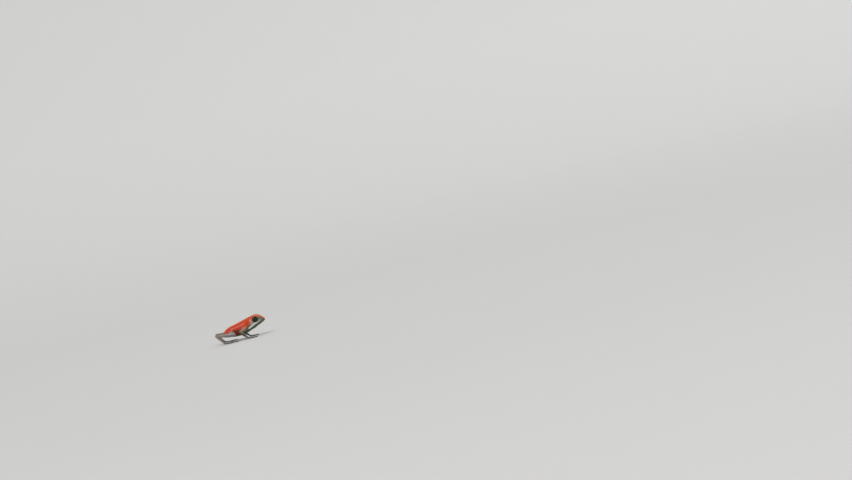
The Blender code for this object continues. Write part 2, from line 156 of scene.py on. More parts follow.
RIGHT_JOINTS = {
    "shoulder": (12.1, 2.3, 4.8),
    "elbow": (7.7, 5.3, 4.15),
    "wrist": (10.9, 5.9, 0.72),
    "hip": (1.9, 1.3, 4.7),
    "knee": (4.8, 7.1, 3.7),
    "heel": (-4.0, 4.6, 4.75),
    "instep": (-0.7, 5.4, 0.72),
}
LEFT_MOVES = {
    "elbow": (0.5, -0.1, 0.1),
    "wrist": (1.1, -0.3, 0.0),
    "knee": (0.35, 0.1, 0.1),
    "heel": (0.3, 0.3, 0.1),
    "instep": (0.2, 0.4, 0.0),
}
# Each limb piece: its joints, its radii at even shares of its length, how far its muscle bows it out
# of the straight line between its joints (forward, outwards, up), and where along it that is most.
LIMB_PIECES = {
    "upper_arm": ("shoulder", "elbow", (0.95, 0.94, 0.88, 0.74, 0.64), (0.0, 0.0, 0.06), 0.45),
    "forearm": ("elbow", "wrist", (0.64, 0.78, 0.70, 0.54, 0.42), (-0.06, 0.06, 0.0), 0.35),
    "thigh": ("hip", "knee", (1.35, 1.40, 1.28, 1.05, 0.80), (0.10, 0.0, 0.0), 0.4),
    "shank": ("knee", "heel", (0.80, 1.00, 0.90, 0.70, 0.52), (0.0, -0.10, -0.05), 0.35),
    "tarsus": ("heel", "instep", (0.50, 0.53, 0.50, 0.45, 0.42), (-0.05, 0.0, 0.0), 0.5),
}
LIMB_SIDES = 56
LIMB_RINGS = 70
# The share of a limb piece's rings that close it at each end.
LIMB_CAP = 0.15


def joints(sign):
    """The joints of the left side (sign 1) or the right side (sign -1)."""
    moves = LEFT_MOVES if sign > 0 else {}
    found = {}
    for name, place in RIGHT_JOINTS.items():
        found[name] = (np.array(place) + moves.get(name, (0, 0, 0))) * (1, sign, 1)
    return found


def thickness(radii, share):
    """A limb piece's radius, read along its radii at each share of its length."""
    return along([[radius] for radius in radii], share)[:, 0]


def limb(start, end, radii, bow, most):
    """A round section carried from joint to joint, with a half ball at each end.

    Its middle line leaves the straight line by bow * sin(pi * share ** k), where k puts the most at
    the share named.
    """
    way = end - start
    length = np.linalg.norm(way)
    way = way / length
    side = np.cross(way, (0, 0, 1))
    side /= np.linalg.norm(side)
    up = np.cross(side, way)
    turn = np.linspace(0, math.pi, LIMB_RINGS)[1:-1]
    reach = (1 - np.cos(turn)) / 2 * (1 + 2 * LIMB_CAP) - LIMB_CAP
    share = np.clip(reach, 0, 1)
    radius = thickness(radii, share)
    past = reach - share
    over = np.abs(past) / LIMB_CAP * math.pi / 2
    distance = share * length + np.sign(past) * radius * np.sin(over)
    radius = radius * np.cos(over)
    bowed = np.sin(math.pi * share ** (math.log(0.5) / math.log(most)))[:, None]
    middle = start + distance[:, None] * way + bowed * np.array(bow)
    angle = np.linspace(0, 2 * math.pi, LIMB_SIDES, endpoint=False)
    spokes = np.cos(angle)[:, None] * side + np.sin(angle)[:, None] * up
    rings = middle[:, None] + radius[:, None, None] * spokes
    return shell(rings, start - way * radii[0], end + way * radii[-1])


def limbs():
    """All the limb pieces of both sides, as closed surfaces that overlap at their joints."""
    for sign in (-1, 1):
        place = joints(sign)
        for start, end, radii, bow, most in LIMB_PIECES.values():
            yield limb(place[start], place[end], radii, np.array(bow) * (1, sign, 1), most)


# The hands and feet: four fingers and five toes, unwebbed, that end in round discs. Each lies flat on
# the floor on its pads. The third finger and the fourth toe are the longest.

# Digits from the innermost out: turn from the hand's own heading in degrees, length, disc width.
FINGERS = ((-40, 2.1, 0.66), (-13, 2.5, 0.74), (14, 3.6, 1.06), (46, 2.7, 0.96))
TOES = ((-40, 1.9, 0.54), (-20, 2.8, 0.60), (-3, 4.1, 0.74), (13, 5.5, 0.82), (38, 3.3, 0.68))
# Each paw: its joint, side, heading in degrees, pad length, half the pad's width, and its digits.
PAWS = (
    ("wrist", -1, -6, 1.5, 0.72, FINGERS),
    ("wrist", 1, 4, 1.5, 0.72, FINGERS),
    ("instep", -1, 8, 2.3, 0.66, TOES),
    ("instep", 1, 12, 2.3, 0.66, TOES),
)
# Along a digit or pad at even shares: height of its middle, half width and half height. The disc's
# rows give their half width as a share of the disc's own, and the pad's are those of a wrist.
SHAFT_ROWS = (
    (0.30, 0.31, 0.31),
    (0.30, 0.27, 0.28),
    (0.28, 0.25, 0.26),
    (0.28, 0.275, 0.275),
    (0.26, 0.24, 0.25),
    (0.25, 0.25, 0.25),
    (0.24, 0.235, 0.235),
)
DISC_ROWS = ((0.21, 0.60, 0.235), (0.185, 1.0, 0.225), (0.17, 1.0, 0.21), (0.16, 0.62, 0.16))
PAD_ROWS = (
    (0.72, 0.44, 0.44),
    (0.45, 0.58, 0.42),
    (0.34, 0.70, 0.36),
    (0.32, 0.72, 0.34),
    (0.29, 0.50, 0.27),
)
PAD_ROWS_HALF = 0.72
DIGIT_SIDES = 32
DIGIT_RINGS = 60
DIGIT_BEND = 0.035
# How far a digit or pad reaches back past its first row, as a share of that row's half width.
ROOT_REACH = 0.6
# The digits' roots: how far along the pad, over what share of its width, and how much further back
# each one is than the middle of the row.
ROOTS_AT = 0.80
ROOTS_SPREAD = 0.55
ROOTS_BACK = 0.22


def headings(degrees, sign):
    """The way that a paw or digit points in, and the way beside it, both level."""
    turn = math.radians(degrees)
    way = np.array((math.cos(turn), math.sin(turn) * sign, 0))
    return way, np.array((-math.sin(turn), math.cos(turn) * sign, 0))


def low_tube(start, heading, length, rows, sign, bend):
    """An oval section carried level over the floor, its path bent sideways by bend * sin(pi * share)."""
    way, side = headings(heading, sign)
    share = np.linspace(0, 1, DIGIT_RINGS)[:-1]
    height, wide, high = along(rows, share).T
    middle = start + share[:, None] * length * way
    middle = middle + (bend * length * np.sin(math.pi * share))[:, None] * side
    middle[:, 2] = height
    angle = np.linspace(0, 2 * math.pi, DIGIT_SIDES, endpoint=False)
    across = (wide[:, None] * np.cos(angle))[..., None] * side
    up = (high[:, None] * np.sin(angle))[..., None] * np.array((0, 0, 1))
    tip = start + length * way
    tip[2] = rows[-1][0]
    root = start - way * rows[0][1] * ROOT_REACH
    root[2] = rows[0][0]
    return shell(middle[:, None] + across + up, root, tip)


def roots(joint, sign, heading, pad_length, pad_half, digits):
    """Each digit of a paw: the place of its root in the pad, its turn outwards, length and disc."""
    way, side = headings(heading, sign)
    middle = (len(digits) - 1) / 2
    for order, digit in enumerate(digits):
        across = (order - middle) / middle * pad_half * ROOTS_SPREAD
        back = ROOTS_BACK * abs(order - middle)
        yield joints(sign)[joint] + way * (pad_length * ROOTS_AT - back) + side * across, *digit


def paws():
    """The pad and digits of each hand and foot, as closed surfaces that overlap at their roots."""
    for paw in PAWS:
        joint, sign, heading, pad_length, pad_half, _ = paw
        rows = [(h, w * pad_half / PAD_ROWS_HALF, t) for h, w, t in PAD_ROWS]
        yield low_tube(joints(sign)[joint], heading, pad_length, rows, sign, 0)
        for root, turn_out, length, disc in roots(*paw):
            rows = [*SHAFT_ROWS, *((h, w * disc / 2, t) for h, w, t in DISC_ROWS)]
            bend = -DIGIT_BEND if turn_out > 0 else DIGIT_BEND
            yield low_tube(root, heading + turn_out, length, rows, sign, bend)


# The skin: one moist, finely granular hide over body, lids, limbs, hands and feet, with no seam. The
# pieces above are fused, their creases fill out as hide does over muscle, and then the face, folds and
# grain go in.

EYE_RADIUS = 1.62
EYE_FORWARD = math.radians(14)
EYE_UP = math.radians(10)
LID_MOUND = (1.98, 2.18, 1.30)
LID_MOUND_RINGS = 58
LID_MOUND_SIDES = 80
LID_OPENING = (1.48, 1.34)
LID_OPENING_DROP = 0.16
# How far the lid stands off the eye, how much more it does at the brow, how far from the eye's middle
# its shape ends, and how deep the hide lies behind the eye, as a share of the eye's radius.
LID_THICKNESS = 0.11
BROW_THICKNESS = 0.12
LID_REACH = (3.0, 2.4)
SOCKET = 0.80
# Ridges and creases round the opening: how many times its size, width, rise, and the heights over its
# middle between which each comes in. The first goes all round, the next is above and the last below.
LID_RIDGES = (
    (1.12, 0.08, 0.04, (-9.0, -8.0)),
    (1.40, 0.10, -0.07, (0.1, 1.0)),
    (1.33, 0.09, -0.04, (-0.1, -0.8)),
)
SKIN_VOXEL = 0.13
POLISH_STEPS = 12
FILL_STEPS = 60
EDGE_STEPS = 4
LIP_STEPS = 3
# The area of the lids and the band of the mouth that the finest mesh covers: middle and size, and
# height on either side of the mouth's line.
LID_AREA = (EYE_CENTRE + (0.2, 1.0, 0), 2.0)
MOUTH_BAND = 0.36
# The face, on the right side of the mid-line as on the left. Each is a point forward, across and up.
MOUTH_CORNER = 13.95
NOSTRIL = (19.85, 1.44, 8.05)
EAR = (14.10, 3.24, 6.75)
EAR_RADIUS = 0.52
EAR_RIM = (0.13, 0.04)
EAR_DEPTH = 0.06
CANTHUS = ((17.5, 2.00, 9.35), (19.9, 1.25, 8.40))
CANTHUS_RIDGE = (0.35, 0.10)
LOREAL = (18.6, 2.55, 7.45)
THROAT = (15.6, 0.0, 4.3)
BETWEEN_EYES = (16.2, 0.0, 10.5)
# Upper lip, lower lip and the mouth between them: height over the mouth's line, width and rise.
LIPS = ((0.24, 0.16, 0.06), (-0.24, 0.16, 0.03), (0.0, 0.10, -0.13))
# A nostril's rim and pit: distance from its middle, width and rise.
NOSTRIL_RINGS = ((0.22, 0.10, 0.035), (0.0, 0.11, -0.16))
# Swellings and hollows of the face: middle, size and rise.
FACE_FORMS = ((LOREAL, 0.9, -0.16), (THROAT, 1.8, 0.16), (BETWEEN_EYES, 0.9, -0.10))
HIP_BONE = ((5.4, 1.00, 7.75), (1.6, 0.55, 6.45))
TAIL_BONE = ((4.9, 0.0, 7.7), (1.2, 0.0, 6.3))
AXILLA = (10.0, 3.5, 3.7)
GROIN = (4.2, 3.1, 4.9)
VENT = (0.05, 0.0, 5.15)
# Pinched skin: middle, size and height, the way across its creases, how much they bend, and the size
# and seed of the ripple that bends them.
CREASES = (
    (GROIN, 1.3, 0.035, (7.0, 0.0, 5.0), 1.5, 2.5, 5),
    (AXILLA, 1.3, 0.030, (-6.0, 0.0, 7.0), 1.5, 2.2, 6),
    (THROAT, 1.9, 0.022, (4.5, 0.0, -3.5), 2.0, 2.0, 7),
)
# Granules, and the hide's own unevenness: height, size and seed.
GRAIN = ((0.016, 0.62, 8), (0.03, 2.6, 9))
# How freely the creases fill at each joint: joint, size of the area, and share of a step.
JOINT_FILL = (
    ("hip", 3.2, 0.75),
    ("shoulder", 2.6, 0.75),
    ("knee", 1.5, 0.6),
    ("elbow", 1.2, 0.6),
    ("heel", 1.0, 0.5),
    ("wrist", 1.0, 0.4),
    ("instep", 1.0, 0.4),
)
LID_FILL = (2.6, 0.75)
LEAST_FILL = 0.25
LEAST_EVEN = 0.10
# Furrows: limb piece, angle, depth and width. Bony points: joint, way out from it, size and height.
FURROWS = (
    ("thigh", 70, 0.09, 0.38),
    ("thigh", -15, 0.08, 0.35),
    ("shank", 25, 0.08, 0.30),
    ("shank", 115, 0.06, 0.28),
    ("tarsus", 30, 0.05, 0.20),
    ("upper_arm", 60, 0.06, 0.28),
    ("forearm", 20, 0.06, 0.24),
    ("forearm", 150, 0.05, 0.22),
)
BONY_POINTS = (
    ("knee", (0.5, 0.6, 0.1), 0.42, 0.07),
    ("elbow", (-0.5, 0.3, 0.0), 0.36, 0.07),
    ("heel", (-0.45, 0.0, 0.15), 0.30, 0.06),
    ("wrist", (0.0, 0.35, 0.25), 0.26, 0.04),
)
SCUTE_RISE = 0.03
SCUTE_GROOVE = 0.075
FLESH_NODES = ["trunk", "head"] + [
    f"{name}_{side}"
    for side in ("left", "right")
    for name in ("upper_arm", "forearm", "hand", "thigh", "shank", "tarsus", "foot")
]


def eye_frame(sign):
    """An eye's centre, and the directions lengthwise, up and out, as rows."""
    out = np.array(
        (
            math.sin(EYE_FORWARD) * math.cos(EYE_UP),
            math.cos(EYE_FORWARD) * math.cos(EYE_UP) * sign,
            math.sin(EYE_UP),
        )
    )
    length = np.cross((0, 0, 1), out)
    length /= np.linalg.norm(length)
    return EYE_CENTRE * (1, sign, 1), np.array((length, np.cross(out, length), out))


def egg(sign, half_size, rings, sides):
    """A closed ellipsoid round an eye's centre, its rings standing round the way that the eye looks.

    A ring at angle p from that way has length and height sin(p) and lies cos(p) out, times the sizes.
    """
    centre, axes = eye_frame(sign)
    polar = np.linspace(0, math.pi, rings + 2)[1:-1, None]
    angle = np.linspace(0, 2 * math.pi, sides, endpoint=False)
    ball = np.stack(
        [np.sin(polar) * np.cos(angle), np.sin(polar) * np.sin(angle), np.cos(polar) + 0 * angle],
        -1,
    )
    reach = axes[2] * half_size[2]
    return shell(centre + (ball * half_size) @ axes, centre + reach, centre - reach)


def lids():
    """The mound of each eye, flatter towards the side that it looks out of."""
    for sign in (-1, 1):
        yield egg(sign, LID_MOUND, LID_MOUND_RINGS, LID_MOUND_SIDES)


def placed(name, points, faces):
    """An object of the points and faces given, with its faces turned outwards."""
    mesh = bpy.data.meshes.new(name)
    mesh.from_pydata(points.tolist(), [], faces)
    shape = bmesh.new()
    shape.from_mesh(mesh)
    bmesh.ops.recalc_face_normals(shape, faces=shape.faces)
    shape.to_mesh(mesh)
    shape.free()
    obj = bpy.data.objects.new(name, mesh)
    bpy.context.scene.collection.objects.link(obj)
    return obj


def fused(name, shells, voxel):
    """Closed surfaces made one by a voxel remesh, as an object in millimetres."""
    points, faces, before = [], [], 0
    for some, sides in shells:
        points.append(some)
        faces += [[i + before for i in side] for side in sides]
        before += len(some)
    obj = placed(name, np.vstack(points), faces)
    remesh = obj.modifiers.new("hide", "REMESH")
    remesh.mode = "VOXEL"
    remesh.voxel_size = voxel
    graph = bpy.context.evaluated_depsgraph_get()
    made = bpy.data.meshes.new_from_object(obj.evaluated_get(graph))
    obj.modifiers.clear()
    obj.data = made
    return obj


def places(mesh):
    """The points of a mesh as an array."""
    flat = np.empty(len(mesh.vertices) * 3)
    mesh.vertices.foreach_get("co", flat)
    return flat.reshape(-1, 3)


def pairs(mesh):
    """The ends of a mesh's edges as an array."""
    flat = np.empty(len(mesh.edges) * 2, np.int32)
    mesh.edges.foreach_get("vertices", flat)
    return flat.reshape(-1, 2)


def corners(mesh):
    """The corners of a mesh's triangles as an array."""
    mesh.calc_loop_triangles()
    flat = np.empty(len(mesh.loop_triangles) * 3, np.int32)
    mesh.loop_triangles.foreach_get("vertices", flat)
    return flat.reshape(-1, 3)


def summed(index, values, count):
    """Values added up by index, column by column."""
    return np.stack([np.bincount(index, column, count) for column in values.T], -1)


def normals(points, triangles):
    """Each point's outward direction: the sum of its triangles' area vectors, made one long."""
    a, b, c = (points[triangles[:, i]] for i in range(3))
    area = np.cross(b - a, c - a)
    total = sum(summed(triangles[:, i], area, len(points)) for i in range(3))
    return total / np.maximum(np.linalg.norm(total, axis=1, keepdims=True), 1e-12)


def to_neighbours(points, edges):
    """From each point to the mean of its neighbours."""
    count = len(points)
    a, b = edges.T
    ways = np.bincount(a, None, count) + np.bincount(b, None, count)
    total = summed(a, points[b], count) + summed(b, points[a], count)
    return total / ways[:, None] - points


def polished(points, edges, steps):
    """Points smoothed by turns of half a step to their neighbours and a little more than that back."""
    for _ in range(steps):
        points = points + 0.50 * to_neighbours(points, edges)
        points = points - 0.52 * to_neighbours(points, edges)
    return points


def eased(points, edges, triangles, fill, even, steps):
    """Points drawn to the mean of their neighbours, step by step.

    Along the surface they move by even. Across it they move out by fill and in by no more than
    even, so hollows fill and ridges stay.
    """
    for step in range(steps):
        if step % 4 == 0:
            out = normals(points, triangles)
        move = to_neighbours(points, edges)
        rise = (move * out).sum(1)
        along_skin = move - rise[:, None] * out
        across = np.where(rise > 0, np.maximum(fill, even), even) * rise
        points = points + 0.6 * even[:, None] * along_skin + across[:, None] * out
    return points


def ramp(value, start, end):
    """0 at the start, 1 at the end and an even S between them."""
    t = np.clip((value - start) / (end - start), 0, 1)
    return t * t * (3 - 2 * t)


def bell(value, size):
    """exp(-(value / size) squared): 1 at 0 and nearly 0 from twice the size on."""
    return np.exp(-((value / size) ** 2))


def ripple(points, size, seed):
    """Soft noise from about -1 to 1: the mean of 24 sine waves of one size, in seeded directions."""
    rng = np.random.default_rng(seed)
    way = rng.normal(size=(24, 3))
    way *= 2 * math.pi / size / np.linalg.norm(way, axis=1, keepdims=True)
    way *= rng.uniform(0.7, 1.4, (24, 1))
    return np.sin(points @ way.T + rng.uniform(0, 2 * math.pi, 24)).mean(1) * 2.4


def from_line(points, start, end):
    """Distance from the straight line between two points, and the share of the way along it."""
    start, end = np.array(start, float), np.array(end, float)
    way = end - start
    share = np.clip((points - start) @ way / (way @ way), 0, 1)
    return np.linalg.norm(points - start - share[:, None] * way, axis=1), share


SPINE = along(BODY_ROWS, np.linspace(0, 1, 600))


def from_mouth(points):
    """Height above the line of the mouth, which runs along the widest line of the jaws."""
    return points[:, 2] - np.interp(points[:, 0], SPINE[:, 0], SPINE[:, 3])


def at_mouth(points):
    """1 on the jaws' outer face where the mouth can be, from its corner round the snout."""
    half = np.interp(points[:, 0], SPINE[:, 0], SPINE[:, 4])
    outer = ramp(np.abs(points[:, 1]) / half, 0.6, 0.8)
    return ramp(points[:, 0], MOUTH_CORNER - 0.3, MOUTH_CORNER + 0.3) * np.maximum(
        outer, ramp(points[:, 0], 20.6, 20.9)
    )


def from_ear(points):
    """Distance from the middle of the ear on its own side, as seen from that side."""
    apart = (np.abs(points[:, 1]) < 1.5) * 9.0
    return np.hypot(points[:, 0] - EAR[0], points[:, 2] - EAR[2]) + apart


def edges_of_face(points):
    """Where the lids and the lips are."""
    at_lids = bump(folded(points), *LID_AREA) > math.exp(-1)
    return at_lids | ((np.abs(from_mouth(points)) < MOUTH_BAND) & (at_mouth(points) > 0.1))


def fine_areas(points):
    """Where the hide needs its finest mesh: lids, mouth, nostrils, ears, hands and feet."""
    one_side = folded(points)
    near = bump(one_side, NOSTRIL, 0.55) > math.exp(-1)
    near |= from_ear(points) < 0.8
    return near | edges_of_face(points) | (points[:, 2] < 0.62)


def with_lids(points):
    """Each eye's opening let in, with a raised rim round it, a fold over it and a crease under it.

    Points move along their rays from the eye's middle, to a distance read from their place in the
    oval of the opening: its edge is at hypot(length / half length, height / half height) = 1.
    """
    for sign in (-1, 1):
        centre, axes = eye_frame(sign)
        long, up, out = ((points - centre) @ axes.T).T
        distance = np.sqrt(long**2 + up**2 + out**2)
        level = up + LID_OPENING_DROP
        oval = np.hypot(long / LID_OPENING[0], level / LID_OPENING[1])
        front = ramp(out, 0.0, 0.5) * ramp(distance, *LID_REACH)
        rim = EYE_RADIUS + LID_THICKNESS + BROW_THICKNESS * ramp(level, 0.2, 1.2)
        wanted = distance + np.maximum(rim - distance, 0) * ramp(oval, 1.50, 1.12)
        for times, width, rise, comes_in in LID_RIDGES:
            wanted += rise * bell(oval - times, width) * ramp(level, *comes_in)
        inside = ramp(oval, 1.05, 0.93)
        wanted = wanted * (1 - inside) + SOCKET * EYE_RADIUS * inside
        moved = centre + (points - centre) * (wanted / distance)[:, None]
        points = points + (moved - points) * front[:, None]
    return points


def with_face(points, out):
    """The line of the mouth with its lips, nostrils, ears, the canthus and the hollow under it.

    Points move along the way out by a sum of bell curves of their distance from each form.
    """
    one_side = folded(points)
    over = from_mouth(points)
    rise = at_mouth(points) * sum(high * bell(over - at, width) for at, width, high in LIPS)
    far = np.linalg.norm(one_side - NOSTRIL, axis=1)
    rise += sum(high * bell(far - at, width) for at, width, high in NOSTRIL_RINGS)
    width, high = EAR_RIM
    rise += high * bell(from_ear(points) - EAR_RADIUS, width)
    rise -= EAR_DEPTH * ramp(from_ear(points), EAR_RADIUS, 0.1)
    width, high = CANTHUS_RIDGE
    rise += high * bell(from_line(one_side, *CANTHUS)[0], width)
    rise += sum(high * bump(one_side, centre, size) for centre, size, high in FACE_FORMS)
    return points + rise[:, None] * out


def with_folds(points, out):
    """Bones, folds and grain: hip and tail bones, pinched skin at arm and thigh, and fine granules.

    Points move along the way out, in the folds by sin(place along a way + soft noise).
    """
    one_side = folded(points)
    rise = 0.07 * bell(from_line(one_side, *HIP_BONE)[0], 0.45)
    rise -= 0.05 * bell(from_line(points, *TAIL_BONE)[0], 0.40)
    upright = np.array((1, 1, 0.6))
    rise -= 0.10 * bump(points * upright, VENT * upright, 0.16)
    for centre, size, high, way, bend, wave, seed in CREASES:
        crease = np.sin(points @ way + bend * ripple(points, wave, seed))
        rise += high * crease * bump(one_side, centre, size)
    grain = ramp(points[:, 2], 1.0, 2.0) * ramp(bump(one_side, EYE_CENTRE, 2.4), 0.45, 0.25)
    rise += grain * sum(high * ripple(points, size, seed) for high, size, seed in GRAIN)
    return points + rise[:, None] * out


def with_muscles(points, out):
    """Shallow furrows between the muscles of the limbs, and the bony points of knee, elbow and heel.

    A furrow lies on the surface, at an angle round the limb from its outer side towards its top.
    """
    rise = np.zeros(len(points))
    for sign in (-1, 1):
        place = joints(sign)
        for name, turn, depth, width in FURROWS:
            start, end, radii, _, _ = LIMB_PIECES[name]
            start, end = place[start], place[end]
            level = np.cross(end - start, (0, 0, 1))
            level *= np.sign(level[1] * sign) / np.linalg.norm(level)
            top = np.cross(level, end - start)
            top *= np.sign(top[2]) / np.linalg.norm(top)
            way = level * math.cos(math.radians(turn)) + top * math.sin(math.radians(turn))
            far, share = from_line(points, start + way * radii[0], end + way * radii[-1])
            rise -= depth * bell(far, width) * ramp(share, 0.05, 0.3) * ramp(share, 0.95, 0.7)
        for name, way, size, height in BONY_POINTS:
            way = np.array(way) * (1, sign, 1)
            rise += height * bump(points, place[name] + way, size)
    return points + rise[:, None] * out


def disc_frames():
    """The middle of each finger or toe disc, its heading and side directions, and its width."""
    for paw in PAWS:
        for root, turn_out, length, disc in roots(*paw):
            ahead, beside = headings(paw[2] + turn_out, paw[1])
            yield root + ahead * (length - disc * 0.5), ahead, beside, disc


def with_scutes(points, out):
    """A pair of low plates on top of each disc, with a groove between them."""
    rise = np.zeros(len(points))
    for centre, ahead, beside, disc in disc_frames():
        apart = (points - centre) @ np.stack([ahead, beside], -1)
        on_disc = bell(apart[:, 0], disc * 0.42) * bell(apart[:, 1], disc * 0.5)
        on_top = on_disc * ramp(out[:, 2], 0.3, 0.8) * (points[:, 2] < 0.7)
        rise += on_top * (SCUTE_RISE - SCUTE_GROOVE * bell(apart[:, 1], disc * 0.10))
    return points + rise[:, None] * out


skin = fused("skin", [body(), *limbs(), *paws(), *lids()], SKIN_VOXEL)
shape = bmesh.new()
shape.from_mesh(skin.data)
fine = fine_areas(places(skin.data))
cuts = [edge for edge in shape.edges if all(fine[vert.index] for vert in edge.verts)]
bmesh.ops.subdivide_edges(shape, edges=cuts, cuts=1, use_grid_fill=True)
bmesh.ops.triangulate(shape, faces=shape.faces)
shape.to_mesh(skin.data)
shape.free()

points = places(skin.data)
edges = pairs(skin.data)
triangles = corners(skin.data)

# Creases fill most at the hips, shoulders and eyes, and hardly at all between the digits.
fill = np.full(len(points), LEAST_FILL)
for sign in (-1, 1):
    areas = [(joints(sign)[name], size, most) for name, size, most in JOINT_FILL]
    for centre, size, most in [*areas, (eye_frame(sign)[0], *LID_FILL)]:
        fill = np.maximum(fill, most * (bump(points, centre, size) > 0.3))
low_down = ramp(points[:, 2], 0.9, 0.6)
fill *= 1 - 0.85 * low_down
even = LEAST_EVEN * (1 - 0.6 * low_down)
points = polished(points, edges, POLISH_STEPS)
points = eased(points, edges, triangles, fill, even, FILL_STEPS)
points = polished(points, edges, POLISH_STEPS // 2)
points[:, 2] = np.maximum(points[:, 2], 0.0)

points = with_face(points, normals(points, triangles))
points = with_folds(points, normals(points, triangles))
points = with_muscles(points, normals(points, triangles))
points = with_scutes(points, normals(points, triangles))
points = with_lids(points)
edged = edges_of_face(points)[:, None]
points = np.where(edged, polished(points, edges, EDGE_STEPS), points)
lips = at_mouth(points) * bell(from_mouth(points), 0.25)
for _ in range(LIP_STEPS):
    points = points + 0.5 * lips[:, None] * to_neighbours(points, edges)
points[:, 2] = np.maximum(points[:, 2], 0.0)


def from_body(points):
    """About how far a point lies outside the body's own surface.

    (hypot(across / half width, height / half height) - 1) * the smaller of the two halves.
    """
    x = np.clip(points[:, 0], 0.3, 20.8)
    top, under, widest, half = (np.interp(x, SPINE[:, 0], SPINE[:, i]) for i in (1, 2, 3, 4))
    over = points[:, 2] - widest
    high = np.where(over > 0, top - widest, widest - under)
    return (np.hypot(points[:, 1] / half, over / high) - 1) * np.minimum(half, high)


def from_limbs(points, names):
    """How far a point lies outside the surface of the nearest of the limb pieces named."""
    nearest = np.full(len(points), np.inf)
    for sign in (-1, 1):
        place = joints(sign)
        for name in names:
            start, end, radii, _, _ = LIMB_PIECES[name]
            far, share = from_line(points, place[start], place[end])
            nearest = np.minimum(nearest, far - thickness(radii, share))
    return nearest


def over_axis(points):
    """How far a point lies above the middle line of the nearest limb piece."""
    nearest, over = np.full(len(points), np.inf), np.zeros(len(points))
    for sign in (-1, 1):
        place = joints(sign)
        for start, end, _, _, _ in LIMB_PIECES.values():
            far, share = from_line(points, place[start], place[end])
            middle = place[start][2] + share * (place[end] - place[start])[2]
            over = np.where(far < nearest, points[:, 2] - middle, over)
            nearest = np.minimum(nearest, far)
    return over


# Points forward and up: the lower edge of the red, and the middle of the pale stripe along the jaw,
# partly a painted sky reflection.
RED_EDGE = (
    (-2.0, 4.3),
    (0.0, 4.5),
    (3.0, 4.8),
    (6.0, 5.3),
    (9.5, 5.2),
    (11.2, 5.3),
    (12.2, 5.9),
    (13.3, 6.7),
    (14.3, 7.3),
    (14.9, 8.6),
    (15.6, 9.4),
    (17.6, 9.35),
    (18.6, 8.85),
    (19.6, 7.95),
    (20.4, 7.45),
    (21.0, 7.25),
)
STRIPE_AND_REFLECTION_MIDDLE = ((11.6, 4.3), (12.1, 4.6), (14.3, 5.65), (15.7, 6.25), (17.5, 6.75), (20.6, 7.25))
# Patches: middle and size. Bands: the two ends of the line that each follows.
GOLD_PATCH = ((10.7, 3.7, 5.6), 0.85)
# A salmon patch at the shoulder and a band behind the eye, partly a painted highlight.
BLUSH_AND_HIGHLIGHT_PATCH = ((9.6, 4.3, 5.1), 1.2)
BLUSH_AND_HIGHLIGHT_BAND = ((13.9, 3.2, 6.9), (14.15, 3.1, 8.5))
LORE_BAND = ((17.7, 2.6, 8.6), (18.5, 2.2, 8.5))


